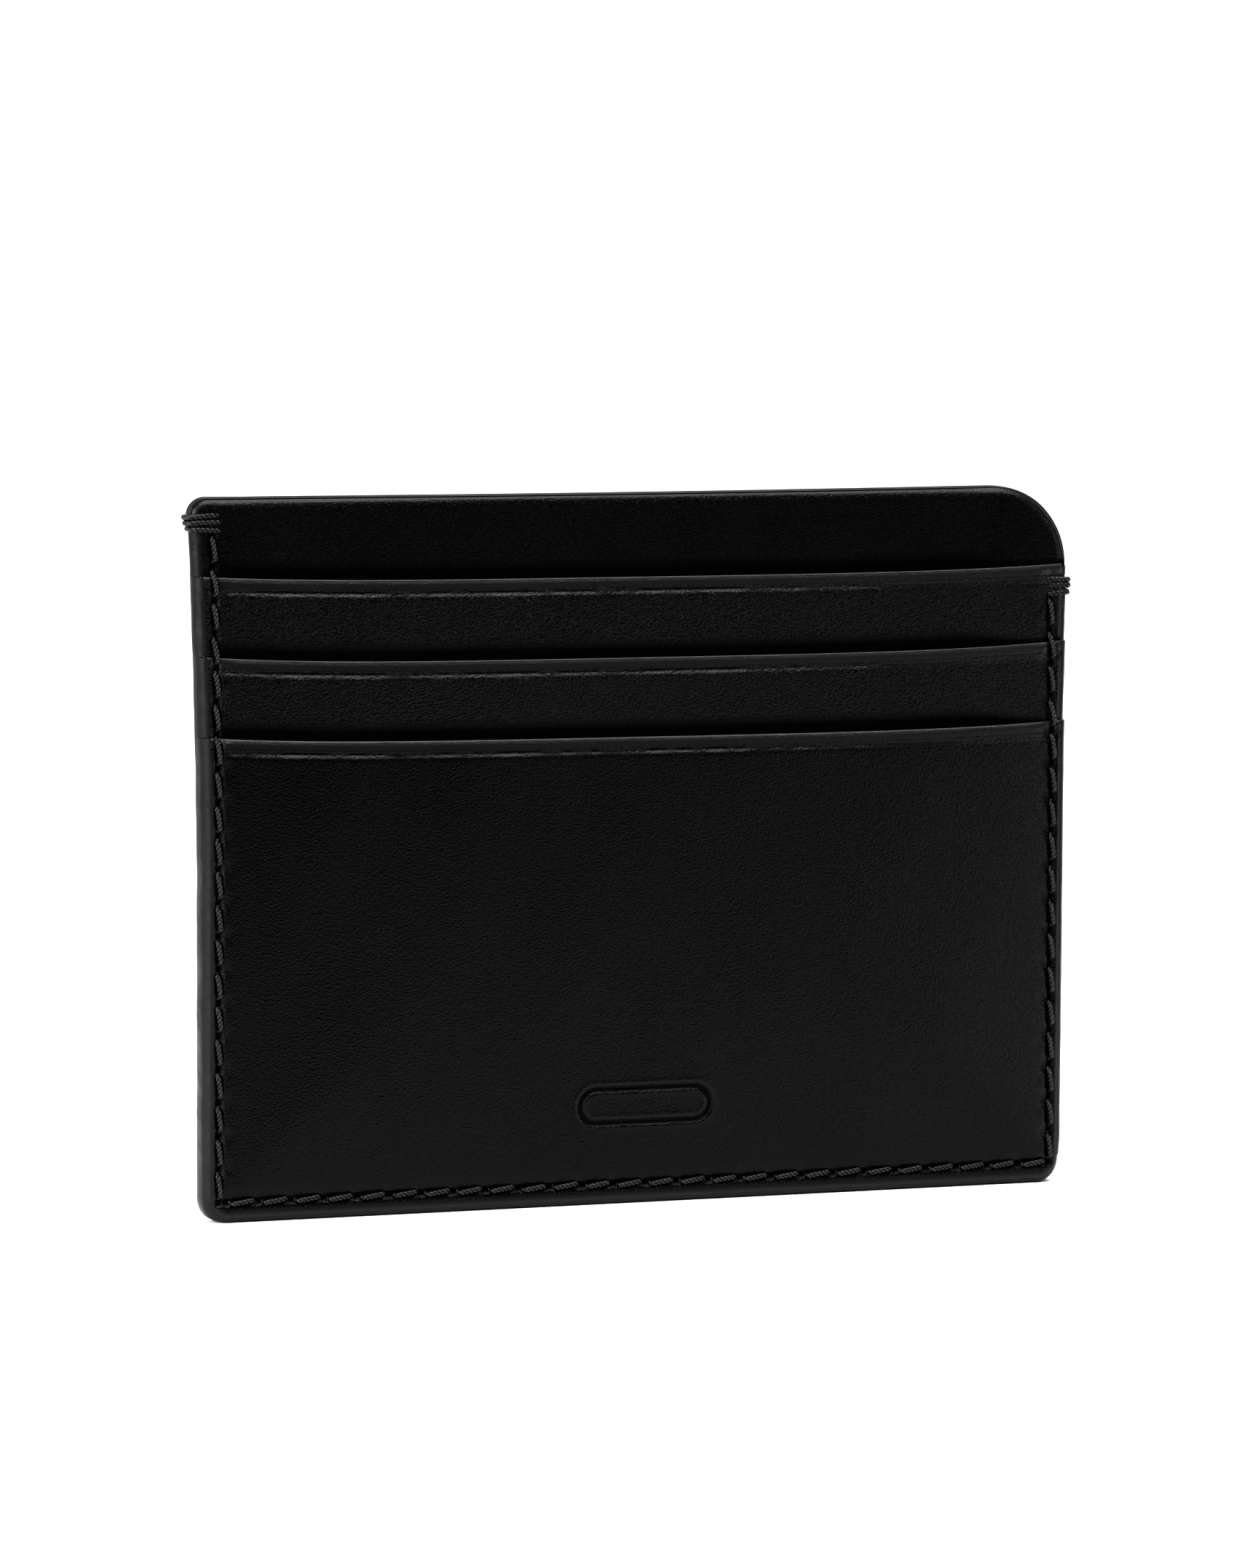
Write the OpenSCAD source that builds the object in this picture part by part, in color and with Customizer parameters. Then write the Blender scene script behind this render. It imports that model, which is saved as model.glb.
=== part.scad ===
// Slim leather card holder: three card slots on the front, one centre pocket
// that opens at the top and round the large top corner, and a plain back.
// X runs along the width, Y through the thickness with the front at -Y, and Z up.
// The origin is at the middle of the bottom edge, at the middle of the thickness.

/* [Outline] */
// Width across the painted side edges
holder_w = 100; // [96:1:110]
// Height from the bottom edge to the top edge
holder_h = 78; // [76:1:84]
// Radius of the large top corner, where a thumb pushes cards out
thumb_corner_r = 9.2; // [6:0.2:9.4]
// Radius of the other top corner
top_corner_r = 2; // [1.5:0.1:2.4]
// Radius of the two bottom corners
bottom_corner_r = 2.6; // [1.5:0.1:2.8]

/* [Slots] */
// Distance from the top edge down to the first slot mouth
first_mouth_drop = 9.1; // [9:0.1:9.3]
// Distance from one slot mouth to the next
mouth_step = 8.7; // [8:0.1:9]
// Depth from a slot mouth down to the seam that a card stands on
slot_depth = 49; // [48:0.5:50]
// How far a leather slot strip runs on below the next mouth
strip_tail = 12; // [8:1:14]
// Height of the thinned lap where a strip and its lining join
lap_h = 5; // [3:0.5:6]

/* [Thicknesses] */
// Leather of the back panel
back_t = 0.9; // [0.8:0.05:1.1]
// Leather of the body panel, behind the slots
body_t = 0.8; // [0.7:0.05:1]
// Leather of a slot strip, and the twill lining that carries on below it
slot_t = 0.35; // [0.35:0.05:0.6]
// Leather of the front pocket panel
front_t = 0.5; // [0.5:0.05:0.9]
// Textile lining of the centre pocket
lining_t = 0.1; // [0.1:0.05:0.2]
// Glued margin between two layers, which leaves each pocket this far open
bond_t = 0.12; // [0.1:0.01:0.3]
// Paint built up on the cut edges
coat_t = 0.25; // [0.1:0.05:0.3]

/* [Seam] */
// Seam line in from the side edges
side_inset = 1.4; // [1.2:0.1:2]
// Seam line up from the bottom edge
bottom_inset = 2.3; // [1.6:0.1:2.6]
// Width of the glued margin along the sides and the bottom
bond_w = 3.2; // [2.5:0.1:4]
// Thickness of the sewing thread as it lies on the leather
thread_t = 0.35; // [0.3:0.05:0.4]
// Width of one stitch
thread_w = 0.65; // [0.5:0.05:0.8]
// Bare gap between one stitch and the next
stitch_gap = 1; // [0.8:0.1:1.4]
// Stitches in the left side seam
left_stitches = 20; // [16:1:24]
// Stitches in the bottom seam
bottom_stitches = 26; // [22:1:30]
// Stitches in the right side seam
right_stitches = 17; // [14:1:20]
// Lean of each stitch off the seam line, in degrees
stitch_lean = 7; // [0:1:10]

/* [Bar tacks] */
// Height of the middle of the left bar tack
left_tack_z = 75.2; // [74:0.1:75.6]
// Height of the middle of the right bar tack
right_tack_z = 66.7; // [64:0.1:66.8]
// Thread wraps in each bar tack
tack_wraps = 3; // [2:1:4]
// Height taken by one wrap
wrap_pitch = 0.65; // [0.6:0.05:0.7]
// How far a wrap stands out past the side edge
tack_proud = 0.5; // [0.4:0.05:0.6]

/* [Pressed mark] */
// Length of the plain pressed oval on the front
mark_w = 15.8; // [8:0.1:24]
// Height of the pressed oval
mark_h = 4.4; // [3:0.1:8]
// Width of its pressed line
mark_line = 0.7; // [0.5:0.1:1]
// Depth of its pressed line
mark_depth = 0.2; // [0.1:0.05:0.3]
// Height of its middle above the bottom edge
mark_z = 11; // [8:0.5:20]

/* [Hidden] */
$fn = 64;

// Heights of the three slot mouths, from the top one down.
upper_mouth_z = holder_h - first_mouth_drop;
middle_mouth_z = upper_mouth_z - mouth_step;
front_mouth_z = middle_mouth_z - mouth_step;

// Depths of the layers, measured forward from the flat back face.
back_lining_d = back_t;
centre_gap_d = back_lining_d + lining_t;
body_lining_d = centre_gap_d + bond_t;
body_d = body_lining_d + lining_t;
upper_gap_d = body_d + body_t;
upper_slot_d = upper_gap_d + bond_t;
middle_gap_d = upper_slot_d + slot_t;
middle_slot_d = middle_gap_d + bond_t;
front_gap_d = middle_slot_d + slot_t;
front_d = front_gap_d + bond_t;
seam_t = front_d + front_t;
back_y = (seam_t + thread_t) / 2;

// The seam edges are one painted edge up to the bar tacks.
tack_h = tack_wraps * wrap_pitch;
left_seam_top = left_tack_z + tack_h / 2;
right_seam_top = right_tack_z + tack_h / 2;
side_split_z = bottom_corner_r + 0.4;
tack_reach = side_inset + 0.4;

// Stop seams: each one closes a slot at the depth of a card.
upper_stop_z = upper_mouth_z - slot_depth;
middle_stop_z = middle_mouth_z - slot_depth;
stop_half_w = holder_w / 2 - bond_w - 1;
stop_pitch = 3;
stop_len = 2.2;
stop_w = 0.4;
stop_t = 0.2;

// The bobbin thread is a little thinner than its channel, so the back stays flat.
bobbin_t = thread_t - 0.05;
channel_w = thread_w + 0.35;
cut = 0.1;

leather = [0.055, 0.055, 0.058];
twill = [0.1, 0.1, 0.11];
thread = [0.09, 0.09, 0.095];
paint = [0.045, 0.045, 0.047];
glue = [0.75, 0.72, 0.6];

// Turns an outline drawn as X and Z into a layer between two depths.
module layer(d0, d1) {
    translate([0, back_y - d0, 0]) rotate([90, 0, 0]) linear_extrude(d1 - d0) children();
}

// What is cut away to round a corner; the corner is at the origin, its body to -X -Y.
module corner_waste(r) {
    difference() {
        translate([-r, -r]) square(r + 1);
        translate([-r, -r]) circle(r);
    }
}

// The whole outline, drawn in by an inset.
module outline(inset = 0) {
    half = holder_w / 2 - inset;
    top = holder_h - inset;
    difference() {
        translate([-half, inset]) square([2 * half, top - inset]);
        translate([half, top]) corner_waste(thumb_corner_r - inset);
        translate([-half, top]) mirror([1, 0]) corner_waste(top_corner_r - inset);
        for (side = [0, 1]) mirror([side, 0])
            translate([half, inset]) mirror([0, 1]) corner_waste(bottom_corner_r - inset);
    }
}

// The outline between two heights.
module band(z0, z1, inset = 0) {
    intersection() {
        outline(inset);
        translate([-holder_w, z0]) square([2 * holder_w, z1 - z0]);
    }
}

// The rim that the edge paint covers, between two heights and two places across.
module rim(z0, z1, x0 = -holder_w, x1 = holder_w) {
    intersection() {
        difference() {
            outline();
            outline(coat_t);
        }
        translate([x0, z0]) square([x1 - x0, z1 - z0]);
    }
}

// A flat sheet between two depths and two heights, inside the edge paint.
module sheet(d0, d1, z0 = 0, z1 = holder_h) {
    layer(d0, d1) band(z0, z1, coat_t);
}

// Glued margin down both sides and along the bottom of a pocket.
module bond(d0, z_left, z_right) {
    half = holder_w / 2;
    layer(d0, d0 + bond_t) intersection() {
        outline(coat_t);
        union() {
            translate([-half, 0]) square([bond_w, z_left]);
            translate([-half, 0]) square([holder_w, bond_w]);
            translate([half - bond_w, 0]) square([bond_w, z_right]);
        }
    }
}

// One stitch as it lies on a face, centred on the origin and running along X.
module stitch(len, wide = thread_w) {
    square([len - wide, wide], center = true);
    for (side = [-1, 1]) translate([side * (len - wide) / 2, 0]) circle(wide / 2);
}

// A straight run of stitches from one point of the seam to the next.
// On the front each stitch rests on the layer found under its lower end.
module seam_run(count, from, to, front) {
    run = to - from;
    pitch = norm(run) / count;
    turn = atan2(run[1], run[0]);
    for (i = [0 : count - 1]) {
        place = from + run * (i + 0.5) / count;
        low_z = place[1] - (pitch - stitch_gap) / 2 * abs(sin(turn));
        d0 = front ? seam_depth(low_z) : thread_t - bobbin_t;
        d1 = front ? d0 + thread_t : thread_t;
        layer(d0, d1) translate(place) rotate(turn + stitch_lean) stitch(pitch - stitch_gap);
    }
}

// Depth of the front of the seam edge at a height.
function seam_depth(z) =
    z < front_mouth_z ? seam_t :
    z < middle_mouth_z ? front_gap_d :
    z < upper_mouth_z ? middle_gap_d : upper_gap_d;

// The whole lockstitch seam: down the left, along the bottom, up the right.
module perimeter_seam(front) {
    x = holder_w / 2 - side_inset;
    low_left = [-x, bottom_inset];
    low_right = [x, bottom_inset];
    seam_run(left_stitches, [-x, left_seam_top - tack_h], low_left, front);
    seam_run(bottom_stitches, low_left, low_right, front);
    seam_run(right_stitches, low_right, [x, right_seam_top - tack_h], front);
}

// Channel in the back face that the bobbin thread and the bar tacks lie in.
module back_channel() {
    x = holder_w / 2 - side_inset;
    layer(-cut, thread_t) {
        low_z = bottom_inset - channel_w / 2;
        translate([-x - channel_w / 2, low_z]) square([channel_w, left_seam_top - low_z]);
        translate([-x, low_z]) square([2 * x, channel_w]);
        translate([x - channel_w / 2, low_z]) square([channel_w, right_seam_top - low_z]);
        tack_seat(left_tack_z, -1);
        tack_seat(right_tack_z, 1);
    }
}

// Face area that a bar tack covers, on the left (-1) or the right (1).
module tack_seat(z, side) {
    translate([side * (holder_w - tack_reach + 1) / 2, z])
        square([tack_reach + 1, tack_h], center = true);
}

// Thread wraps over the edge: along the front, round the side and along the back.
module bar_tack(z, side, front_d0) {
    wrap_h = wrap_pitch - 0.05;
    reach = tack_reach + tack_proud;
    x_mid = side * (holder_w / 2 + tack_proud - reach / 2);
    y_mid = back_y - (front_d0 + thread_t) / 2;
    for (i = [0 : tack_wraps - 1])
        translate([x_mid, y_mid, z + (i - (tack_wraps - 1) / 2) * wrap_pitch])
            difference() {
                cube([reach, front_d0 + thread_t, wrap_h], center = true);
                translate([-side * tack_proud, 0, 0])
                    cube([reach, front_d0 - thread_t, 2 * wrap_h], center = true);
            }
}

// A level row of stitches that closes a slot, pressed into the layer it lies on.
module stop_row(z, d0) {
    count = floor(2 * stop_half_w / stop_pitch);
    layer(d0, d0 + stop_t)
        for (i = [0 : count - 1])
            translate([(i - (count - 1) / 2) * stop_pitch, z]) stitch(stop_len, stop_w);
}

// The groove that such a row presses, between two depths.
module stop_groove(z, d0, d1) {
    layer(d0, d1) translate([0, z]) square([2 * stop_half_w, 1.5 * stop_w], center = true);
}

// Flat leather back, whole outline, with a channel for the bobbin thread.
module back_panel() {
    color(leather) difference() {
        sheet(0, back_t);
        back_channel();
    }
}

module back_lining() {
    color(twill) sheet(back_lining_d, centre_gap_d);
}

module centre_pocket_bond() {
    color(glue) bond(centre_gap_d, left_seam_top, right_seam_top);
}

module body_lining() {
    color(twill) sheet(body_lining_d, body_d);
}

// Leather behind the slots; the band above the first mouth is its visible part.
module body_panel() {
    color(leather) difference() {
        sheet(body_d, upper_gap_d);
        stop_groove(upper_stop_z, body_d - cut, body_d + stop_t);
        stop_groove(middle_stop_z, body_d - cut, body_d + stop_t);
    }
}

module upper_slot_bond() {
    color(glue) bond(upper_gap_d, upper_mouth_z - coat_t, upper_mouth_z - coat_t);
}

// A leather slot strip, thinned from behind where its lining laps it.
module slot_strip(d0, mouth_z) {
    low_z = mouth_z - mouth_step - strip_tail;
    sheet(d0, d0 + slot_t, low_z + lap_h, mouth_z - coat_t);
    sheet(d0 + slot_t / 2, d0 + slot_t, low_z, low_z + lap_h);
}

// The twill that carries on below a strip, down to the bottom seam.
module slot_lining(d0, mouth_z, stop_z) {
    low_z = mouth_z - mouth_step - strip_tail;
    difference() {
        union() {
            sheet(d0, d0 + slot_t, 0, low_z);
            sheet(d0, d0 + slot_t / 2, low_z, low_z + lap_h);
        }
        stop_groove(stop_z, d0 + slot_t - stop_t, d0 + slot_t + cut);
    }
}

module upper_slot_strip() {
    color(leather) slot_strip(upper_slot_d, upper_mouth_z);
}

module upper_slot_lining() {
    color(twill) slot_lining(upper_slot_d, upper_mouth_z, upper_stop_z);
}

module upper_stop_thread() {
    color(thread) {
        stop_row(upper_stop_z, middle_gap_d - stop_t);
        stop_row(upper_stop_z, body_d);
    }
}

module middle_slot_bond() {
    color(glue) bond(middle_gap_d, middle_mouth_z - coat_t, middle_mouth_z - coat_t);
}

module middle_slot_strip() {
    color(leather) slot_strip(middle_slot_d, middle_mouth_z);
}

module middle_slot_lining() {
    color(twill) slot_lining(middle_slot_d, middle_mouth_z, middle_stop_z);
}

module middle_stop_thread() {
    color(thread) {
        stop_row(middle_stop_z, front_gap_d - stop_t);
        stop_row(middle_stop_z, body_d);
    }
}

module front_pocket_bond() {
    color(glue) bond(front_gap_d, front_mouth_z - coat_t, front_mouth_z - coat_t);
}

// Plain oval line pressed into the front.
module pressed_mark() {
    layer(seam_t - mark_depth, seam_t + cut) translate([0, mark_z]) difference() {
        stitch(mark_w, mark_h);
        stitch(mark_w - 2 * mark_line, mark_h - 2 * mark_line);
    }
}

module front_pocket_panel() {
    color(leather) difference() {
        sheet(front_d, seam_t, 0, front_mouth_z - coat_t);
        pressed_mark();
    }
}

module needle_thread() {
    color(thread) perimeter_seam(true);
}

module bobbin_thread() {
    color(thread) perimeter_seam(false);
}

module left_bar_tack() {
    color(thread) bar_tack(left_tack_z, -1, upper_gap_d);
}

module right_bar_tack() {
    color(thread) bar_tack(right_tack_z, 1, middle_gap_d);
}

// Painted side edge in steps, as each mouth leaves one layer fewer above it.
module side_coat(side, top_z) {
    x0 = side < 0 ? -holder_w : 0;
    steps = [side_split_z, front_mouth_z, middle_mouth_z, upper_mouth_z, left_seam_top];
    difference() {
        for (i = [0 : 3])
            if (steps[i] < top_z)
                layer(0, seam_depth(steps[i]))
                    rim(steps[i], min(steps[i + 1], top_z), x0, x0 + holder_w);
        layer(-cut, thread_t) {
            tack_seat(left_tack_z, -1);
            tack_seat(right_tack_z, 1);
        }
    }
}

module left_edge_coat() {
    color(paint) side_coat(-1, left_seam_top);
}

module bottom_edge_coat() {
    color(paint) layer(0, seam_t) rim(0, side_split_z);
}

module right_edge_coat() {
    color(paint) side_coat(1, right_seam_top);
}

// Painted edge round the top and the thumb corner, above the two bar tacks.
module top_coat(d0, d1) {
    layer(d0, d1) {
        rim(left_seam_top, holder_h, -holder_w, 0);
        rim(right_seam_top, holder_h, 0, holder_w);
    }
}

module back_top_edge_coat() {
    color(paint) top_coat(0, centre_gap_d);
}

module body_top_edge_coat() {
    color(paint) top_coat(body_lining_d, upper_gap_d);
}

// Painted edge along a slot mouth.
module mouth_coat(d0, d1, mouth_z) {
    color(paint) sheet(d0, d1, mouth_z - coat_t, mouth_z);
}

module upper_mouth_edge_coat() {
    mouth_coat(upper_slot_d, middle_gap_d, upper_mouth_z);
}

module middle_mouth_edge_coat() {
    mouth_coat(middle_slot_d, front_gap_d, middle_mouth_z);
}

module front_mouth_edge_coat() {
    mouth_coat(front_d, seam_t, front_mouth_z);
}

back_panel();
back_lining();
centre_pocket_bond();
body_lining();
body_panel();
upper_slot_bond();
upper_slot_strip();
upper_slot_lining();
upper_stop_thread();
middle_slot_bond();
middle_slot_strip();
middle_slot_lining();
middle_stop_thread();
front_pocket_bond();
front_pocket_panel();
needle_thread();
bobbin_thread();
left_bar_tack();
right_bar_tack();
left_edge_coat();
bottom_edge_coat();
right_edge_coat();
back_top_edge_coat();
body_top_edge_coat();
upper_mouth_edge_coat();
middle_mouth_edge_coat();
front_mouth_edge_coat();
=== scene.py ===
"""Looks of the slim leather card holder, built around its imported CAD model.

Lengths in the geometry code are in millimetres and are turned into metres when a mesh is made.
X runs along the width, the front faces -Y, and Z is up. "Lift" is a move towards the front,
"press" is a dent in one face of a sheet, and "below" is the distance under a sheet's free edge.
"""

import math

import bpy
import numpy as np
from mathutils import Matrix, Vector


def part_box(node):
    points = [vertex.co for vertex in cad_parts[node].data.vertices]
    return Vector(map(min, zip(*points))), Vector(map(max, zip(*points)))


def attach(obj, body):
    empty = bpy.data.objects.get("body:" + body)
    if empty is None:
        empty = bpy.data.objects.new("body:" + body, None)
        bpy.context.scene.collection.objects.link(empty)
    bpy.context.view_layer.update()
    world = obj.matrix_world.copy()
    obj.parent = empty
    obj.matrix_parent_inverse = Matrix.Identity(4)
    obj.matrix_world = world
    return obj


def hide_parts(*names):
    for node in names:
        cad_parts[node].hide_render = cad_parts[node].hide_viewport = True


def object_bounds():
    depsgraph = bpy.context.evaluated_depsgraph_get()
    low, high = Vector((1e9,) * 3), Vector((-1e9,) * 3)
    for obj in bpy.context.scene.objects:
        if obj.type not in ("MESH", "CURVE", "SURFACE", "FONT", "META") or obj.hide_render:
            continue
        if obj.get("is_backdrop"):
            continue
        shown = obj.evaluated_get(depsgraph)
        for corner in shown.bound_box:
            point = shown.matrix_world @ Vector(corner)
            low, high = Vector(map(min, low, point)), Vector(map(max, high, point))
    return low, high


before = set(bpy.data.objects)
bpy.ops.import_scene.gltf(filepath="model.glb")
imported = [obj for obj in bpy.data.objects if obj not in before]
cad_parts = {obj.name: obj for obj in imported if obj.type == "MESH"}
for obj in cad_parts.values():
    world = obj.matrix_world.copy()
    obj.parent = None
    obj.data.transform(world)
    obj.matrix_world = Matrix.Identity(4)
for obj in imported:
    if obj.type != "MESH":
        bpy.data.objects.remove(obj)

CAD_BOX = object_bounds()
MM = 0.001


# ---------------- places read from the frame


def box_mm(node):
    low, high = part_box(node)
    return np.array(low) / MM, np.array(high) / MM


def depths(node):
    """Front and back of a node, as Y in millimetres."""
    low, high = box_mm(node)
    return low[1], high[1]


HALF_W = box_mm("bottom_edge_coat")[1][0]
HEIGHT = box_mm("back_top_edge_coat")[1][2]
COAT = HALF_W - box_mm("back_panel")[1][0]
CUT_HALF_W = HALF_W - COAT
BACK_Y = depths("back_panel")[1]
FRONT_Y = depths("front_pocket_panel")[0]
MOUTH = {m: box_mm(m + "_mouth_edge_coat")[1][2] for m in ("upper", "middle", "front")}
LEFT_TOP = box_mm("left_edge_coat")[1][2]
RIGHT_TOP = box_mm("right_edge_coat")[1][2]
SPLIT_Z = box_mm("left_edge_coat")[0][2]
LEFT_TACK = box_mm("left_bar_tack")
RIGHT_TACK = box_mm("right_bar_tack")
LEFT_END, RIGHT_END = LEFT_TACK[0][2], RIGHT_TACK[0][2]

# Sizes that the part's source sets and a box doesn't show.
THUMB_R, TOP_R, BOTTOM_R = 9.2, 2.0, 2.6
SEAM_IN, SEAM_UP = 1.4, 2.3
STITCHES = {"left": 20, "bottom": 26, "right": 17}
MARGIN, GLUE_SKIN = 3.2, 0.01
LAP_H, LAP_STEP = 5.0, 0.4
STOP_DEPTH, STOP_PITCH, STOP_LEN = 49.0, 3.0, 2.2
MARK_W, MARK_H, MARK_LINE, MARK_Z = 15.8, 4.4, 0.7, 11.0

# How the worn leather departs from flat sheets. Widths, heights and depths are in millimetres.
MOUTH_SAG = {  # sag of a mouth's middle, upturn at its ends, and tilt
    "upper": (0.18, 0.60, 0.003),
    "middle": (0.22, 0.75, 0.003),
    "front": (0.10, 0.65, 0.005),
}
UPTURN_AT = 48.0  # distance from the middle where the upturn is whole
TOP_DIP, DIP_H = 0.2, 12.0  # dip in the middle of the top edge, and how far down it fades out
LIP_H = 1.3  # a lip leans back over this height
LIP_ROUND_DEEP, LIP_ROUND_H = 0.05, 0.35
CREASE_BELOW, CREASE_DEEP = 1.36, 0.28  # pressed line under a mouth
CREASE_UPPER_W, CREASE_LOWER_W = 0.10, 0.42
ROLL_W, ROLL_DEEP, ROLL_CURVE = 1.7, 0.62, 3  # rounding of the stack towards its painted edge
FOLD_SHADOW_H, FOLD_SHADOW_LEAST_H = 2.4, 0.3  # height of the painted shadow where the leather folds in above a mouth, and its height at the right seam
SHOULDER_W = 0.85  # a sheet rises this quickly inside the seam
BOW_OUT_W = 10.0  # reach of an outward bow
BOW_IN_START, BOW_IN_W = 1.9, 9.0  # an inward bow starts past the glued margin
WAVES = (  # slow unevenness: height, length across, length up, start
    (0.022, 6.1, 9.7, 0.4),
    (0.016, 3.7, -5.3, 2.1),
    (0.020, 17.0, 4.3, 1.2),
    (0.010, 2.3, 2.9, 4.0),
)

# How the outline leans out: how far, from which height, and over what height.
LEFT_LEAN, LEFT_KICK = (0.9, 36.0, 37.0), (0.35, 74.2, 2.0)
RIGHT_FOOT, RIGHT_LEAN = (0.28, 0.0, 6.0), (0.75, 48.0, 28.0)
SEAM_SHARE = 0.15  # part of the lean that a side seam follows

# Dents of the seam and of the pressed mark.
CORNER_GAP = 0.8  # the bottom run starts this far past the left corner
RUN_PAST, RUN_FADE = 0.6, 0.5
GROOVE_DEEP, GROOVE_W = 0.24, 0.42
HOLE_DEEP, HOLE_W, HOLE_LEN = 0.40, 0.30, 0.48
PUCKER_DEEP, PUCKER_IN, PUCKER_W = 0.13, 0.85, 0.38
MARK_DEEP, SWELL_HIGH, SWELL_OFF, SWELL_W = 0.20, 0.05, 0.62, 0.3
TACK_SEAT_DEEP, TACK_SEAT_W = 0.25, 1.9
MOST_PRESS, MOST_BACK_PRESS = 0.82, 0.6  # deepest dents, as shares of a sheet's thickness

# Steps of the mesh grids.
SHEET_STEP, SHEET_ROW_STEP, STRIP_ROW_STEP, FINE_STEP = 0.62, 0.7, 0.5, 0.16
GRID_GROWTH, GRID_LEAST = 0.22, 0.07
DEEP = 9.0  # a "below" that is well clear of every lip

# Each leather layer: its CAD node and mouth, its quick rise inside the seam, its slow bow in the
# middle, and how far its free edge leans back.
LAYERS = {
    "back": dict(node="back_panel", mouth=None, shoulder=0.0, bow=-0.66, lean=-0.12),
    "body": dict(node="body_panel", mouth=None, shoulder=0.08, bow=-0.56, lean=0.08),
    "upper": dict(node="upper_slot_strip", mouth="upper", shoulder=0.20, bow=0.08, lean=0.12),
    "middle": dict(node="middle_slot_strip", mouth="middle", shoulder=0.24, bow=0.50, lean=0.12),
    "front": dict(node="front_pocket_panel", mouth="front", shoulder=0.28, bow=0.95, lean=0.14),
}
STRIPS = ("upper", "middle")
MOUTH_OVER = {"body": "upper", "upper": "middle", "middle": "front"}


# ---------------- shape rules


def smooth(t):
    t = np.clip(t, 0, 1)
    return t * t * (3 - 2 * t)


def bell(t):
    return np.exp(-t * t)


def flare(z, side):
    """How far the outline leans out at a height, on the left (-1) or the right (1)."""

    def grown(zone):
        return (z - zone[1]) / zone[2]

    left = LEFT_LEAN[0] * np.clip(grown(LEFT_LEAN), 0, 1.05) ** 1.6
    left = left + LEFT_KICK[0] * smooth(grown(LEFT_KICK))
    right = RIGHT_FOOT[0] * smooth(grown(RIGHT_FOOT))
    right = right + RIGHT_LEAN[0] * np.clip(grown(RIGHT_LEAN), 0, 1) ** 1.2
    return np.where(np.asarray(side) < 0, left, right)


def side_limit(z, side, inset):
    """Distance from the middle to the outline, drawn in by an inset, at a height."""
    low_r = BOTTOM_R - inset
    top_r = (THUMB_R if side > 0 else TOP_R) - inset
    low = np.clip(inset + low_r - z, 0, low_r)
    up = np.clip(z - (HEIGHT - inset - top_r), 0, top_r)
    cut_low = low_r - np.sqrt(np.maximum(low_r**2 - low**2, 0))
    cut_up = top_r - np.sqrt(np.maximum(top_r**2 - up**2, 0))
    return HALF_W - inset + flare(z, side) - cut_low - cut_up


def edge_distance(x, z):
    """How far inside the painted outline a point lies."""
    dx = HALF_W + flare(z, np.sign(x)) - np.abs(x)
    best = np.minimum(dx, np.minimum(z, HEIGHT - z))
    for dz, r in ((z, BOTTOM_R), (HEIGHT - z, np.where(x < 0, TOP_R, THUMB_R))):
        near = (dx < r) & (dz < r)
        best = np.where(near, r - np.hypot(r - dx, r - dz), best)
    return best


def seam_x(z, side):
    """Distance from the middle to a side seam, which runs straighter than the edge beside it."""
    return HALF_W - SEAM_IN + SEAM_SHARE * flare(z, side)


def seam_runs(x, z):
    """For each run of the seam: the distance inside it, the distance along it from the nearest
    needle hole, the pitch of its holes, and a weight of 1 that fades out past its ends."""
    low = seam_x(SEAM_UP, 1)
    runs = (
        ("left", x + seam_x(z, -1), LEFT_END - z, LEFT_END - SEAM_UP),
        ("bottom", z - SEAM_UP, x + low - CORNER_GAP, 2 * low - CORNER_GAP),
        ("right", seam_x(z, 1) - x, z - SEAM_UP, RIGHT_END - SEAM_UP),
    )
    for name, across, along, length in runs:
        pitch = length / STITCHES[name]
        to_hole = (along / pitch - np.round(along / pitch)) * pitch
        begun, left_over = along + RUN_PAST, length - along + RUN_PAST
        yield across, to_hole, pitch, smooth(begun / RUN_FADE) * smooth(left_over / RUN_FADE)


def soft_min(a, b, reach=1.6):
    """The smaller of two distances, blended where they are alike."""
    h = np.clip(0.5 + 0.5 * (b - a) / reach, 0, 1)
    return b * (1 - h) + a * h - reach * h * (1 - h)


def seam_inside(x, z):
    """Distance inside the U of the seam, rounded at its two corners."""
    sides = soft_min(x + seam_x(z, -1), seam_x(z, 1) - x)
    return soft_min(sides, z - SEAM_UP)


def shoulder(inside):
    """Quick rise of a sheet just inside the seam, from 0 to 1."""
    return 1 - bell(np.maximum(inside, 0) / SHOULDER_W)


def bow(inside, inward):
    """Slow rise from 0 at the seam to 1 in the middle."""
    if inward:
        return smooth((inside - BOW_IN_START) / BOW_IN_W)
    return 1 - np.exp(-np.maximum(inside, 0) / BOW_OUT_W)


def mouth_rise(mouth, x):
    """How far a mouth's edge stands above its level CAD height."""
    sag, upturn, tilt = MOUTH_SAG[mouth]
    return upturn * np.abs(x / UPTURN_AT) ** 4 - sag - tilt * x


def mouth_line(mouth, x):
    return MOUTH[mouth] + mouth_rise(mouth, x)


def top_dip(x, below):
    """How far the free top edge dips, most in the middle."""
    return TOP_DIP * (1 - (x / HALF_W) ** 2) * smooth(1 - below / DIP_H)


def undulation(x, z):
    """Slow unevenness of the leather, a few hundredths of a millimetre."""
    return sum(high * np.sin(x / across + z / up + start) for high, across, up, start in WAVES)


def edge_roll(face_y, inset):
    """Rounding of the glued stack towards its painted edge: the nearer the front, the deeper."""
    share = (BACK_Y - face_y) / (BACK_Y - FRONT_Y)
    return share * ROLL_DEEP * (1 - np.clip(inset / ROLL_W, 0, 1)) ** ROLL_CURVE


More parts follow.
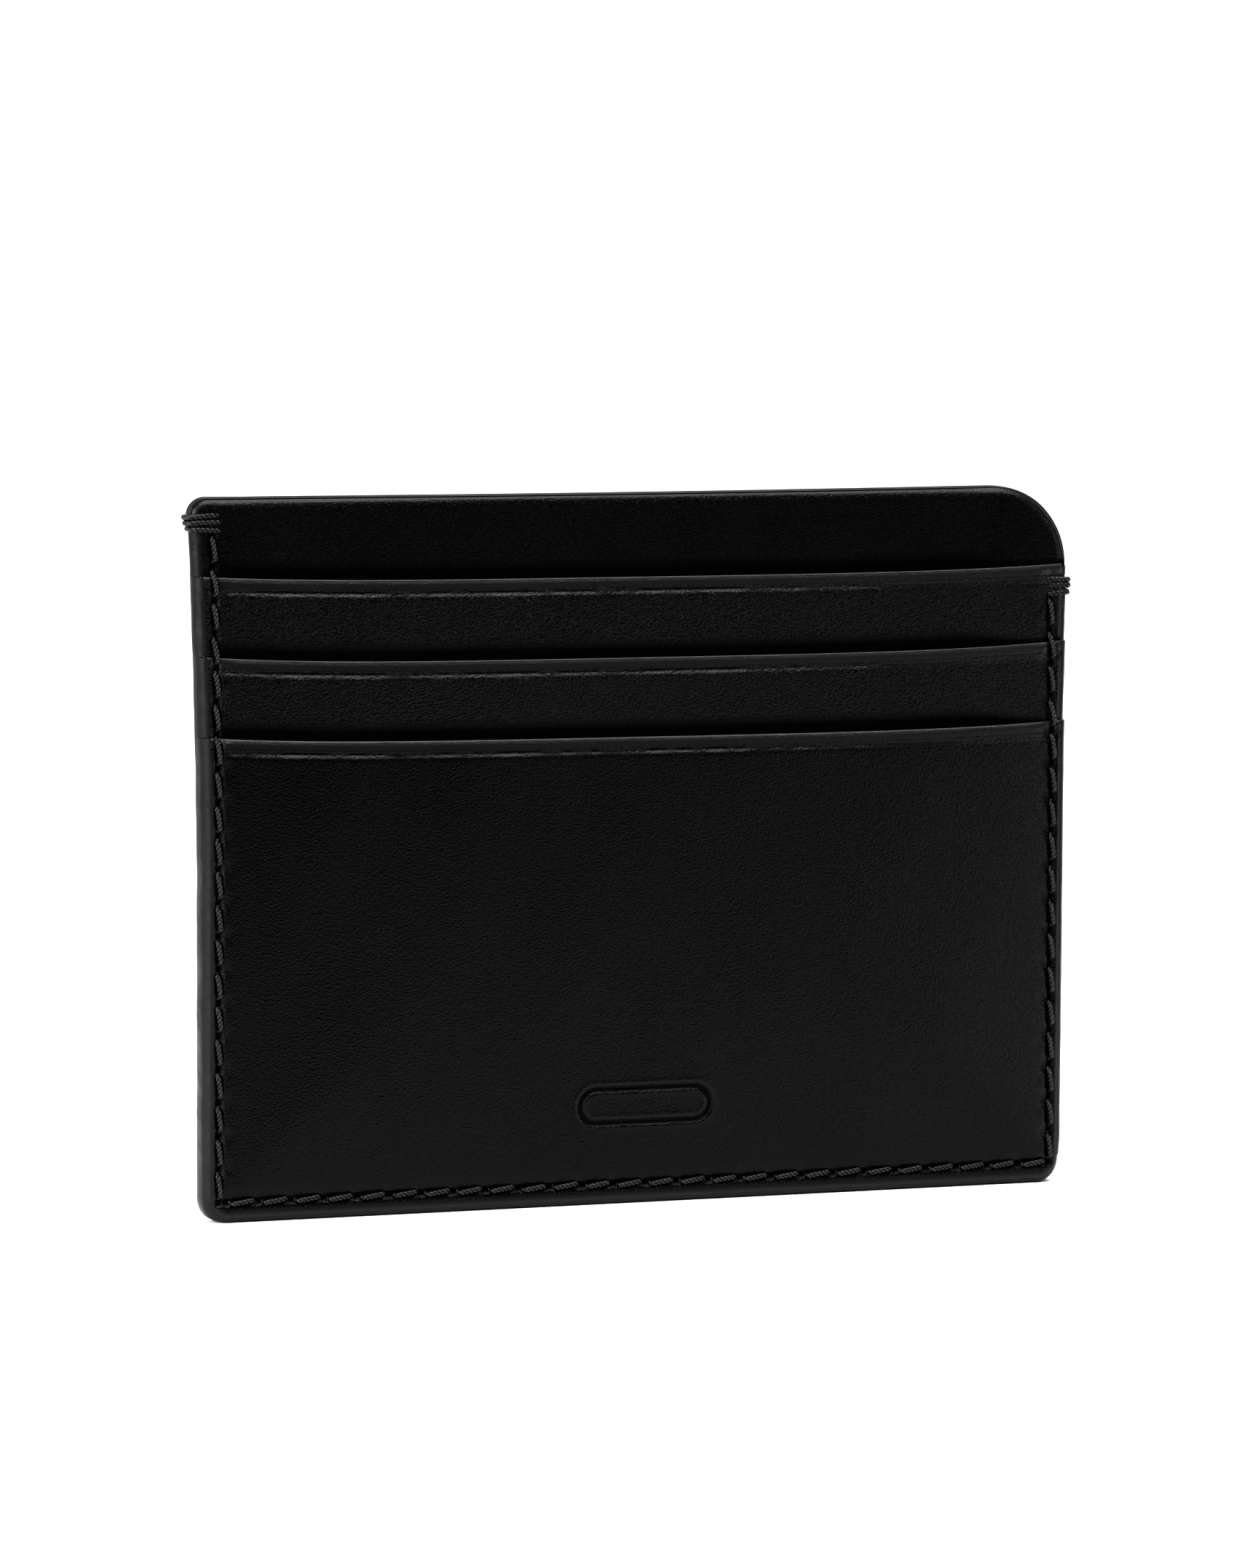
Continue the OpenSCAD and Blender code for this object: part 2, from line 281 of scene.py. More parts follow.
def lift(layer, x, z, below):
    """How far a sheet stands forward of its flat place."""
    inside = seam_inside(x, z)
    up = shoulder(inside)
    stand = layer["shoulder"] * up + layer["bow"] * bow(inside, layer["bow"] < 0)
    lean = layer["lean"] * (1 - smooth(below / LIP_H)) * up
    stand = stand - lean + undulation(x, z) * bow(inside, True)
    if layer["node"] == "back_panel":
        return stand
    return stand - edge_roll(depths(layer["node"])[0], edge_distance(x, z))


def seam_press(x, z):
    """Dent of the seam in a face: the groove, the needle holes and the pucker between them."""
    total = np.zeros_like(x)
    for across, to_hole, pitch, in_run in seam_runs(x, z):
        groove = GROOVE_DEEP * bell(across / GROOVE_W)
        pit = HOLE_DEEP * bell(across / HOLE_W) * bell(to_hole / HOLE_LEN)
        pucker = PUCKER_DEEP * bell((across - PUCKER_IN) / PUCKER_W)
        pucker = pucker * np.cos(2 * math.pi * to_hole / pitch)
        total = np.maximum(total, (groove + pit) * in_run) + pucker * in_run
    return total


def rim_press(x, z, wide=0.45, deep=0.10):
    """Rounding of a face towards the painted outline."""
    away = np.clip((edge_distance(x, z) - COAT) / wide, 0, 1)
    return deep * (1 - away) ** 2


def lip_press(x, below):
    """Rounding of a free mouth edge, and the creased line under it."""
    round_off = LIP_ROUND_DEEP * (1 - np.clip((below - COAT) / LIP_ROUND_H, 0, 1)) ** 2
    off = below - CREASE_BELOW
    groove = np.where(off < 0, bell(off / CREASE_UPPER_W), bell(off / CREASE_LOWER_W))
    slow, quick = np.sin(x / 1.9 + 0.5) * np.sin(x / 4.3 + 2.0), np.sin(x / 0.55)
    groove = groove * (0.82 + 0.18 * slow + 0.10 * quick)
    from_left, to_right = smooth((x + 48.4) / 1.6), 1 - 0.7 * smooth((x - 12) / 32)
    return round_off + CREASE_DEEP * groove * (from_left * to_right)


def mark_off(x, z):
    """Distance outside the middle of the pressed oval's line."""
    flat = (MARK_W - MARK_H) / 2
    return np.hypot(np.maximum(np.abs(x) - flat, 0), z - MARK_Z) - (MARK_H - MARK_LINE) / 2


def mark_press(x, z):
    """The plain pressed oval, with a slight swell on both sides of its line."""
    off = mark_off(x, z)
    line = MARK_DEEP * np.exp(-((off / (MARK_LINE / 2)) ** 4))
    return line - SWELL_HIGH * bell((np.abs(off) - SWELL_OFF) / SWELL_W)


# ---------------- mesh makers


def make_piece(name, points, faces, material, nodes, shade=None, smooth_angle=50):
    """A mesh piece from points in millimetres, which stands for its CAD nodes."""
    mesh = bpy.data.meshes.new(name)
    mesh.from_pydata((np.asarray(points) * MM).tolist(), [], faces)
    mesh.polygons.foreach_set("use_smooth", np.ones(len(mesh.polygons), bool))
    mesh.set_sharp_from_angle(angle=math.radians(smooth_angle))
    # Per-point shade attribute: painted shade below 0, real rubbing mixed with painted highlight
    # above 0.
    if shade is not None:
        layer = mesh.attributes.new("shade", "FLOAT", "POINT")
        layer.data.foreach_set("value", np.asarray(shade, np.float32))
    mesh.validate()
    piece = bpy.data.objects.new(name, mesh)
    bpy.context.scene.collection.objects.link(piece)
    mesh.materials.append(material)
    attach(piece, "root")
    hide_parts(*nodes)


def graded(low, high, coarse, zones):
    """Places from low to high: coarse apart, and finer near each (place, reach, step) zone."""
    places = [low]
    while places[-1] < high:
        at = places[-1]
        steps = [fine + GRID_GROWTH * max(0.0, abs(at - place) - reach)
                 for place, reach, fine in zones]
        places.append(at + min([coarse] + steps))
    places = np.array(places)
    return low + (places - low) * (high - low) / (places[-1] - low)


def corner_rows(edge, r, count, up):
    """Heights round a corner of radius r, from its edge; up if the sheet lies above the edge."""
    turn = np.linspace(0, math.pi / 2, count)
    rise = r * (1 - np.cos(turn))
    return edge + rise if up else edge - rise


def bottom_rows(count=10):
    """Heights round a sheet's bottom corners."""
    return corner_rows(COAT, BOTTOM_R - COAT, count, True)


def top_rows():
    """Heights round a sheet's thumb corner, and round its small top corner."""
    top = HEIGHT - COAT
    return corner_rows(top, THUMB_R - COAT, 26, False), corner_rows(top, TOP_R - COAT, 10, False)


def merged(*groups):
    """Sorted places, without any that almost coincide. Places in the first group are all kept."""
    keep = list(groups[0])
    for group in groups[1:]:
        keep += [p for p in group if min(abs(p - k) for k in keep) > GRID_LEAST]
    return np.array(sorted(keep))


def fit_outline(x, z):
    """Draws the sides of a rectangular grid in to the outline, inside the edge paint."""
    zone = 12.0
    start = CUT_HALF_W - zone
    out = x.copy()
    for side in (-1, 1):
        limit = side_limit(z, side, COAT)
        far = np.clip(side * x - start, 0, None)
        moved = side * (start + far * (limit - start) / zone)
        out = np.where(side * x > start, moved, out)
    return out


def sheet_mesh(x, z, y_fine, y_coarse, thin, facing):
    """Closed sheet from a grid: a fine face, one with every thin-th line, and walls between them.
    facing is -1 if the fine face looks to the front, and 1 if it looks to the back.
    The coarse face's points come last, and their number is returned too."""
    rows, cols = x.shape
    keep_r = list(range(0, rows - 1, thin)) + [rows - 1]
    keep_c = list(range(0, cols - 1, thin)) + [cols - 1]
    fine = np.stack([x, y_fine, z], -1).reshape(-1, 3)
    pick = np.ix_(keep_r, keep_c)
    rough = np.stack([x[pick], y_coarse[pick], z[pick]], -1).reshape(-1, 3)
    count, wide = rows * cols, len(keep_c)

    def f(r, c):
        return r * cols + c

    def b(i, j):
        return count + i * wide + j

    faces = [(f(r, c), f(r, c + 1), f(r + 1, c + 1), f(r + 1, c))
             for r in range(rows - 1) for c in range(cols - 1)]
    faces += [(b(i, j), b(i + 1, j), b(i + 1, j + 1), b(i, j + 1))
              for i in range(len(keep_r) - 1) for j in range(wide - 1)]
    for j in range(wide - 1):
        a, e = keep_c[j], keep_c[j + 1]
        faces.append([f(0, c) for c in range(e, a - 1, -1)] + [b(0, j), b(0, j + 1)])
        last = len(keep_r) - 1
        faces.append([f(rows - 1, c) for c in range(a, e + 1)] + [b(last, j + 1), b(last, j)])
    for i in range(len(keep_r) - 1):
        a, e = keep_r[i], keep_r[i + 1]
        faces.append([f(r, 0) for r in range(a, e + 1)] + [b(i + 1, 0), b(i, 0)])
        faces.append([f(r, cols - 1) for r in range(e, a - 1, -1)]
                     + [b(i, wide - 1), b(i + 1, wide - 1)])
    if facing > 0:
        faces = [tuple(reversed(face)) for face in faces]
    return np.concatenate([fine, rough]), faces, len(rough)


def swept_faces(rings, size):
    """Faces of a closed tube made of rings of points."""
    faces = []
    for k in range(rings - 1):
        for s in range(size):
            t = (s + 1) % size
            faces.append((k * size + s, k * size + t, (k + 1) * size + t, (k + 1) * size + s))
    last = (rings - 1) * size
    return faces + [tuple(reversed(range(size))), tuple(range(last, last + size))]


def ribbon_mesh(path, normals, sections):
    """Closed band swept along a path in X and Z. sections[k] is a ring of (outward, Y) points."""
    rings, size = sections.shape[:2]
    points = np.empty((rings, size, 3))
    points[:, :, 0] = path[:, 0:1] + normals[:, 0:1] * sections[:, :, 0]
    points[:, :, 1] = sections[:, :, 1]
    points[:, :, 2] = path[:, 1:2] + normals[:, 1:2] * sections[:, :, 0]
    return points.reshape(-1, 3), swept_faces(rings, size)


def path_normals(path):
    """Outward unit normals of a path that goes anticlockwise, seen from the front."""
    along = np.gradient(path, axis=0)
    along /= np.linalg.norm(along, axis=1)[:, None]
    return np.stack([along[:, 1], -along[:, 0]], -1)


def frames_along(line):
    """Two cross directions at each point of a line, without twist."""
    tangent = np.gradient(line, axis=0)
    tangent /= np.linalg.norm(tangent, axis=1)[:, None]
    side = np.cross(tangent[0], [0.31, 0.87, 0.38])
    sides = []
    for t in tangent:
        side = side - t * (side @ t)
        side = side / np.linalg.norm(side)
        sides.append(side)
    sides = np.array(sides)
    return sides, np.cross(tangent, sides)


def tube(line, radius, corners):
    """Points and faces of a closed tube round a line."""
    u, v = frames_along(line)
    turn = np.linspace(0, 2 * math.pi, corners, endpoint=False)
    ring = u[:, None] * np.cos(turn)[None, :, None] + v[:, None] * np.sin(turn)[None, :, None]
    return (line[:, None] + ring * radius).reshape(-1, 3), swept_faces(len(line), corners)


def run_along(line):
    """Distance travelled along a line to each of its points."""
    return np.concatenate([[0], np.cumsum(np.linalg.norm(np.diff(line, axis=0), axis=1))])


def twisted(line, width, turns, start, corners=7):
    """Points and faces of a two-ply thread along a line, with so many turns to a millimetre."""
    u, v = frames_along(line)
    angle = start + 2 * math.pi * turns * run_along(line)
    ply_r, orbit = 0.29 * width, 0.23 * width
    parts = []
    for half_turn in (0, 1):
        a = angle + math.pi * half_turn
        offset = u * np.cos(a)[:, None] + v * np.sin(a)[:, None]
        parts.append(tube(line + orbit * offset, ply_r, corners))
    return joined(parts)


def joined(parts):
    """One set of points and faces from several."""
    points, faces, start = [], [], 0
    for p, f in parts:
        points.append(p)
        faces += [tuple(i + start for i in face) for face in f]
        start += len(p)
    return np.concatenate(points), faces


# ---------------- leather and lining sheets


def front_face_y(name, x, z, below):
    """Y of the front face of a leather layer, with every dent in it."""
    layer = LAYERS[name]
    front, back = depths(layer["node"])
    press = seam_press(x, z) + rim_press(x, z)
    if layer["mouth"]:
        press = press + lip_press(x, below)
    else:
        press = press + rim_press(x, z, wide=0.6, deep=0.08) * smooth((z - MOUTH["upper"]) / 3)
    if name == "front":
        press = press + mark_press(x, z)
    return front - lift(layer, x, z, below) + np.minimum(press, MOST_PRESS * (back - front))


def grid_for(name):
    """Grid of a leather layer, drawn in to the outline, with its free edge on the mouth line."""
    mouth = LAYERS[name]["mouth"]
    places = [(HALF_W - SEAM_IN, 0.9, FINE_STEP), (CUT_HALF_W, 0.2, 0.13)]
    if name == "front":
        places.append((MARK_W / 2, 1.4, FINE_STEP))
    columns = [(side * at, reach, step) for at, reach, step in places for side in (-1, 1)]
    xs = graded(-CUT_HALF_W, CUT_HALF_W, SHEET_STEP, columns)
    x, z = np.meshgrid(xs, rows_for(name))
    below = (MOUTH[mouth] if mouth else HEIGHT) - z
    if mouth:
        z = z + mouth_rise(mouth, x) * smooth(1 - (below - 3) / 9)
    else:
        z = z - top_dip(x, below)
    return fit_outline(x, z), z, below


def rows_for(name):
    """Heights of a leather layer's grid rows."""
    layer = LAYERS[name]
    box_low, box_high = box_mm(layer["node"])
    low, high, mouth = box_low[2], box_high[2], layer["mouth"]
    zones = []
    if mouth:
        zones += [(high, 0.5, 0.07), (MOUTH[mouth] - CREASE_BELOW, 0.5, 0.08)]
    if name in ("front", "back"):
        zones.append((SEAM_UP, 1.0, FINE_STEP))
    if name == "front":
        zones.append((MARK_Z, MARK_H / 2 + 0.5, 0.17))
    if not mouth:
        return merged(bottom_rows(), *top_rows(), graded(low, high, SHEET_ROW_STEP, zones))
    rows = graded(low, high, STRIP_ROW_STEP, zones)
    return merged(bottom_rows(), rows) if low < 1 else rows


def leather_sheet(name, material):
    """A leather layer, finely modelled on the face that is seen."""
    layer = LAYERS[name]
    x, z, below = grid_for(name)
    front, back = depths(layer["node"])
    if name == "back":
        press = seam_press(x, z) + rim_press(x, z) + tack_press(x, z)
        press = np.minimum(press, MOST_BACK_PRESS * (back - front))
        fine = back - lift(layer, x, z, below) - press
        coarse, facing = front - lift(layer, x, z, below), 1
    else:
        fine, facing = front_face_y(name, x, z, below), -1
        coarse = back - lift(layer, x, z, below)
        if name in STRIPS:
            low = box_mm(layer["node"])[0][2]
            coarse = coarse - (back - front) / 2 * (1 - smooth((z - low - LAP_H) / LAP_STEP + 1))
    points, faces, rough = sheet_mesh(x, z, fine, coarse, 4, facing)
    # Painted shade and highlight with real rubbing, on the seen face only; the coarse face gets 0.
    shade = np.concatenate([sheet_shade(name, x, z, below).ravel(), np.zeros(rough)])
    make_piece(name + "_leather", points, faces, material, [layer["node"]], shade)


def sheet_shade(name, x, z, below):
    """Up to 1 on high spots and arrises, as real rubbing mixed with painted highlight,
    and down to -1 as painted shade in needle holes and tight folds.
    """
    # Lighter, smoother rim by the painted edge: partly real rubbing, partly painted highlight.
    rubbed_and_highlit = 0.8 * bell((edge_distance(x, z) - 0.5) / 0.55)
    rubbed_and_highlit = rubbed_and_highlit * (1 - 0.25 * smooth((z - HEIGHT + 1.6) / 0.5))
    # Painted shade along the seam line, deepest in the needle holes.
    painted_shade = np.zeros_like(x)
    for across, to_hole, _, in_run in seam_runs(x, z):
        along = 0.25 + 0.75 * bell(to_hole / 0.55)
        painted_shade = np.maximum(painted_shade, bell(across / HOLE_W) * along * in_run)
    if name in MOUTH_OVER:
        # Painted shadow just above the next mouth, where the leather dips behind the lip in front
        # of it.
        tall = FOLD_SHADOW_LEAST_H + (FOLD_SHADOW_H - FOLD_SHADOW_LEAST_H) * smooth((HALF_W - x - 0.5) / 13)
        fold_shadow = smooth(1 - (z - mouth_line(MOUTH_OVER[name], x)) / tall)
        painted_shade = np.maximum(painted_shade, fold_shadow * smooth((x + HALF_W - SEAM_IN) / 0.8))
    if name == "front":
        # Painted shade in the oval's pressed line, and a painted highlight on the swells beside it.
        off = mark_off(x, z)
        painted_shade = np.maximum(painted_shade, 0.6 * bell(off / 0.25))
        rubbed_and_highlit = np.maximum(rubbed_and_highlit, 0.3 * bell((np.abs(off) - 0.55) / 0.2))
    if LAYERS[name]["mouth"]:
        # Painted highlight on the lip and on the crease's lower flank (under), and painted shade on
        # its upper flank.
        crease = below - CREASE_BELOW
        under = smooth((crease + 0.05) / 0.15) * smooth(1 - (crease - 0.5) / 0.2)
        rubbed_and_highlit = np.maximum(rubbed_and_highlit, 0.72 * smooth(1 - (below - 1.0) / 0.25))
        rubbed_and_highlit = np.maximum(rubbed_and_highlit, 0.45 * under)
        rubbed_and_highlit = rubbed_and_highlit * (1 - 1.4 * bell((crease + 0.16) / 0.10))
    return rubbed_and_highlit * (1 - painted_shade) - 1.3 * painted_shade


def tack_press(x, z):
    """Seat of each bar tack in the back face."""
    total = np.zeros_like(x)
    for side, (low, high) in ((-1, LEFT_TACK), (1, RIGHT_TACK)):
        tall = smooth((z - low[2] + 0.1) / 0.3) * smooth((high[2] + 0.1 - z) / 0.3)
        wide = smooth((side * x - (HALF_W + flare(z, side) - TACK_SEAT_W)) / 0.3)
        total = np.maximum(total, TACK_SEAT_DEEP * tall * wide)
    return total


def lining_sheet(name, layer_name, node, material, lap_of=None, stop_z=None):
    """A twill lining that moves with a leather layer. It is thinned where it laps under a strip,
    and pulled in along a stop seam."""
    layer = LAYERS[layer_name]
    low, high = box_mm(node)
    rows = graded(low[2], high[2], 1.2, [(stop_z, 0.5, 0.15)] if stop_z else [])
    if low[2] < 1:
        rows = merged(bottom_rows(), rows)
    if high[2] > MOUTH["upper"]:
        thumb, small = top_rows()
        rows = merged(thumb, rows, small)
    columns = [(side * CUT_HALF_W, 3, 0.4) for side in (-1, 1)]
    x, z = np.meshgrid(graded(-CUT_HALF_W, CUT_HALF_W, 1.5, columns), rows)
    below = HEIGHT - z
    if not layer["mouth"]:
        z = z - top_dip(x, below)
    x = fit_outline(x, z)
    move = lift(layer, x, z, below)
    front, back = np.full_like(x, low[1]) - move, np.full_like(x, high[1]) - move
    if lap_of:
        front = front + (high[1] - low[1]) / 2 * smooth((z - box_mm(lap_of)[0][2]) / LAP_STEP + 1)
    if stop_z:
        in_row = smooth((HALF_W - 4 - np.abs(x)) / 0.5)
        front = front + 0.18 * bell((z - stop_z) / 0.25) * in_row
    points, faces, _ = sheet_mesh(x, z, front, back, 1, -1)
    make_piece(name, points, faces, material, [node], smooth_angle=60)


def glue_margin(gap, behind, ahead, material):
    """Glued margin down both sides and along the bottom of the gap between two layers."""
    node = gap + "_bond"
    low, high = box_mm(node)
    inner = HALF_W - MARGIN
    side = graded(-CUT_HALF_W, -inner, 0.8, [(-CUT_HALF_W, 0.8, 0.3)])
    xs = np.concatenate([side, np.linspace(-inner, inner, 40)[1:-1], -side[::-1]])
    rows = np.concatenate([bottom_rows(8), np.linspace(BOTTOM_R + 0.2, MARGIN, 2),
                           np.linspace(MARGIN, high[2], 60)[1:]])
    x, z = np.meshgrid(xs, rows)
    mid_x, cell_top = (x[:-1, :-1] + x[1:, 1:]) / 2, z[1:, 1:] - GLUE_SKIN
    keep = (np.abs(mid_x) > inner) | (cell_top <= MARGIN)
    keep &= (mid_x < 0) | (cell_top <= min(high[2], RIGHT_TOP))
    x = fit_outline(x, z)
    far = np.full_like(x, DEEP)
    front = low[1] + GLUE_SKIN - lift(LAYERS[ahead], x, z, far)
    back = high[1] - GLUE_SKIN - lift(LAYERS[behind], x, z, far)
    points, faces = cell_mesh(x, z, front, back, keep)
    make_piece(gap + "_glue", points, faces, material, [node])


def cell_mesh(x, z, front, back, keep):
    """Closed slab over the cells of a grid that are kept."""
    rows, cols = x.shape
    points = np.concatenate([np.stack([x, y, z], -1).reshape(-1, 3) for y in (front, back)])
    behind = rows * cols
    faces = []

    def kept(r, c):
        return 0 <= r < rows - 1 and 0 <= c < cols - 1 and keep[r, c]

    for r in range(rows - 1):
        for c in range(cols - 1):
            if not keep[r, c]:
                continue
            ring = [r * cols + c, r * cols + c + 1, (r + 1) * cols + c + 1, (r + 1) * cols + c]
            faces.append(tuple(ring))
            faces.append(tuple(i + behind for i in reversed(ring)))
            for k, next_to in enumerate(((r - 1, c), (r, c + 1), (r + 1, c), (r, c - 1))):
                if not kept(*next_to):
                    a, b = ring[k], ring[(k + 1) % 4]
                    faces.append((b, a, a + behind, b + behind))
    used = sorted({i for face in faces for i in face})
    place = {i: k for k, i in enumerate(used)}
    return points[used], [tuple(place[i] for i in face) for face in faces]


# ---------------- painted edges

# Half of the ring round a painted edge that laps on both faces, and the ring's inner part.
# Each point is (outward from the outline, depth behind the face). Both halves meet at CROWN_OUT,
# and the depths shrink where the stack is thinner than WHOLE_RING_T.
CROWN_OUT, WHOLE_RING_T = 0.20, 1.7
WRAP_HALF = [(-0.66, 0.012), (-0.52, -0.012), (-0.40, 0.004), (-0.28, 0.035), (-0.17, 0.085),
             (-0.07, 0.155), (0.02, 0.250), (0.09, 0.370), (0.15, 0.530), (0.19, 0.730)]
INNER_HALF = [(-0.27, 0.150), (-0.60, 0.035)]


def wrap_ring(front_at, back, crown):
    """Ring points of the lapped edge, for each place on the path. front_at(n) is the Y of the
    stack's face at a distance n outward, and crown scales what stands out past the outline."""

    def out(n):
        return n * crown if n > 0 else np.full_like(crown, n)

    edge = front_at(0)
    scale = np.minimum(1.0, (back - edge) / WHOLE_RING_T)
    ring = [(out(n), front_at(min(n, 0)) + y * scale) for n, y in WRAP_HALF]
    ring += [(out(CROWN_OUT), (edge + back) / 2)]
    ring += [(out(n), back - y * scale) for n, y in reversed(WRAP_HALF)]
    ring += [(out(n), back - y * scale) for n, y in reversed(INNER_HALF)]
    ring += [(out(n), front_at(n) + y * scale) for n, y in INNER_HALF]
    return as_sections(ring, len(back))


def bead_ring(front, back, dent_front, dent_back, crown):
    """Ring points of a rounded bead on one sheet's edge, between its two faces."""
    front, back = np.asarray(front), np.asarray(back)
    mid, half = (front + back) / 2, (back - front) / 2
    ring = [(-COAT - 0.22, front + dent_front * 0.32), (-COAT, front + dent_front * 0.92)]
    for turn in np.linspace(-70, 70, 8):
        a = math.radians(turn)
        out = -COAT + (COAT + crown) * math.cos(a) ** 0.8
        ring.append((out, mid + half * 0.86 * math.sin(a) + dent_front / 3))
    ring += [(-COAT, back - dent_back * 0.92), (-COAT - 0.12, back - dent_back * 0.4)]
    ring += [(-COAT - 0.06, mid + 0.1 * half), (-COAT - 0.16, front + dent_front * 0.7)]
    return as_sections(ring, len(front))


def as_sections(ring, count):
    """Ring points as one array: place on the path, point of the ring, (outward, Y)."""
    out = np.empty((count, len(ring), 2))
    for k, (n, y) in enumerate(ring):
        out[:, k, 0], out[:, k, 1] = n, y
    return out


def rim_front(x, z, inset=None):
    """Front of the glued stack at a place on the rim, which has one layer fewer above each mouth.
    inset is the distance inside the outline, where it isn't to be worked out from the place."""
    level = FRONT_Y
    for mouth, under in (("front", "middle"), ("middle", "upper"), ("upper", "body")):
        over = smooth((z - mouth_line(mouth, x) + 0.20) / 0.24)
        level = level + over * (depths(LAYERS[under]["node"])[0] - level)
    return level + edge_roll(level, edge_distance(x, z) if inset is None else inset)


def side_path(side, low, high):
    """Outline points up one side between two heights, close together at the steps."""
    zones = [(mouth_line(m, side * HALF_W), 0.35, 0.05) for m in MOUTH]
    zs = graded(low, high, 0.8, zones + [(HEIGHT, 2.4, 0.12)])
    path = np.stack([side * side_limit(zs, side, 0), zs], -1)
    return path if side > 0 else path[::-1]


def edge_coat(name, path, node, material):
    """The painted edge of the whole glued stack along part of the outline."""
    normals = path_normals(path)
    x, z = path[:, 0], path[:, 1]
    uneven = 1 + 0.12 * np.sin(x / 2.1 + z / 1.7) + 0.10 * np.sin(z / 0.9 + 1)
    crown = uneven * smooth(np.abs(normals[:, 0]) * 1.2)

    def front_at(n):
        return rim_front(x, z, -n)

    sections = wrap_ring(front_at, np.full(len(path), BACK_Y), crown)
    points, faces = ribbon_mesh(path, normals, sections)
    make_piece(name, points, faces, material, [node])


def bottom_path():
    """Outline from the left side down round both bottom corners to the right side."""
    turn = np.radians(np.linspace(0, 90, 14))
    left = np.stack([-HALF_W + BOTTOM_R * (1 - np.cos(turn)), BOTTOM_R * (1 - np.sin(turn))], -1)
    xs = np.linspace(-HALF_W + BOTTOM_R, HALF_W - BOTTOM_R, 120)[1:-1]
    middle = np.stack([xs, np.zeros_like(xs)], -1)
    right = left[::-1] * [-1, 1]
    return np.concatenate([[[-HALF_W, SPLIT_Z]], left, middle, right, [[HALF_W, SPLIT_Z]]])


def top_path():
    """Outline from the right bar tack up, over the top, and down to the left one."""
    right = np.concatenate([graded(RIGHT_TOP, HEIGHT - THUMB_R, 0.5, []),
                            corner_rows(HEIGHT, THUMB_R, 40, False)[::-1][1:]])
    left = corner_rows(HEIGHT, TOP_R, 16, False)
    left = left[left > LEFT_TOP + 0.05]
    top = np.linspace(side_limit(HEIGHT, 1, 0), -side_limit(HEIGHT, -1, 0), 130)[1:-1]
    path = np.concatenate([
        np.stack([side_limit(right, 1, 0), right], -1),
        np.stack([top, np.full_like(top, HEIGHT)], -1),
        np.stack([-side_limit(left, -1, 0), left], -1),
        [[-side_limit(LEFT_TOP, -1, 0), LEFT_TOP]],
    ])
    path[:, 1] -= top_dip(path[:, 0], HEIGHT - path[:, 1])
    return path


def top_coat(layer_name, front, back, dents, material):
    """Rounded painted bead along the free top edge of a panel and its lining."""
    path = top_path()
    x, z = path[:, 0], path[:, 1]
    move = lift(LAYERS[layer_name], x, z, np.maximum(HEIGHT - z, 0))
    ring = bead_ring(front - move, back - move, *dents, 0.04)
    points, faces = ribbon_mesh(path, path_normals(path), ring)
    node = layer_name + "_top_edge_coat"
    make_piece(layer_name + "_top_paint", points, faces, material, [node])


def mouth_coat(mouth, material):
    """Rounded painted bead along a slot mouth."""
    left = 0.75 - side_limit(MOUTH[mouth], -1, 0)
    right = side_limit(MOUTH[mouth], 1, 0) - 0.75
    x = graded(left, right, 0.8, [(left, 2.5, 0.15), (right, 2.5, 0.15)])[::-1]
    z = mouth_line(mouth, x)
    below = np.full_like(x, COAT)
    front = front_face_y(mouth, x, z - COAT, below)
    back = depths(LAYERS[mouth]["node"])[1] - lift(LAYERS[mouth], x, z - COAT, below)
    path = np.stack([x, z], -1)
    points, faces = ribbon_mesh(path, path_normals(path), bead_ring(front, back, 0.0, 0.0, 0.0))
    node = mouth + "_mouth_edge_coat"
    make_piece(mouth + "_mouth_bead", points, faces, material, [node])


# ---------------- thread

# Widths in millimetres, and twist in turns to a millimetre.
STITCH_W, STITCH_TURNS = 0.62, 1.05
TACK_W, TACK_TURNS = 0.66, 0.95
STOP_W, STOP_TURNS = 0.2, 1.1
STITCH_LEAN = 0.42  # how far a stitch slants across the seam
HOLE_SINK, FRONT_HEIGHT, BACK_HEIGHT = 0.55, 0.10, -0.04
WRAPS = ((0.10, -0.34), (0.24, 0.16), (0.16, 0.30))  # how proud, and how far it slants


def seam_holes():
    """For each run of the seam: the places (x, z) of its needle holes, in order."""
    low = seam_x(SEAM_UP, 1)
    for name, count in STITCHES.items():
        t = np.linspace(0, 1, count + 1)
        if name == "left":
            z = LEFT_END + (SEAM_UP - LEFT_END) * t
            x = -seam_x(z, -1)
        elif name == "bottom":
            z = np.full_like(t, SEAM_UP)
            x = CORNER_GAP - low + (2 * low - CORNER_GAP) * t
        else:
            z = SEAM_UP + (RIGHT_END - SEAM_UP) * t
            x = seam_x(z, 1)
        yield np.stack([x, z], -1)


def stitch_line(a, b, front, jitter):
    """Centre line of one stitch from hole a to hole b, leaning off the seam."""
    t = np.linspace(0, 1, 31)
    near_end = np.minimum(t, 1 - t)
    chord = b - a
    across = np.array([-chord[1], chord[0]]) / np.linalg.norm(chord)
    lean = (0.5 - t) * -STITCH_LEAN * smooth(near_end / 0.14)
    plan = a + chord * (0.11 + 0.78 * t)[:, None] + across * (lean + jitter[0])[:, None]
    height = FRONT_HEIGHT if front else BACK_HEIGHT
    rise = smooth((near_end - 0.03) / 0.13)
    out = -HOLE_SINK + (height + HOLE_SINK + jitter[1]) * rise + 0.05 * np.sin(math.pi * t)
    if front:
        level = rim_front(plan[:, 0], plan[:, 1])
        y = np.minimum(level, level[0] + (level[-1] - level[0]) * t) - out
    else:
        y = BACK_Y + out
    return np.stack([plan[:, 0], y, plan[:, 1]], -1)


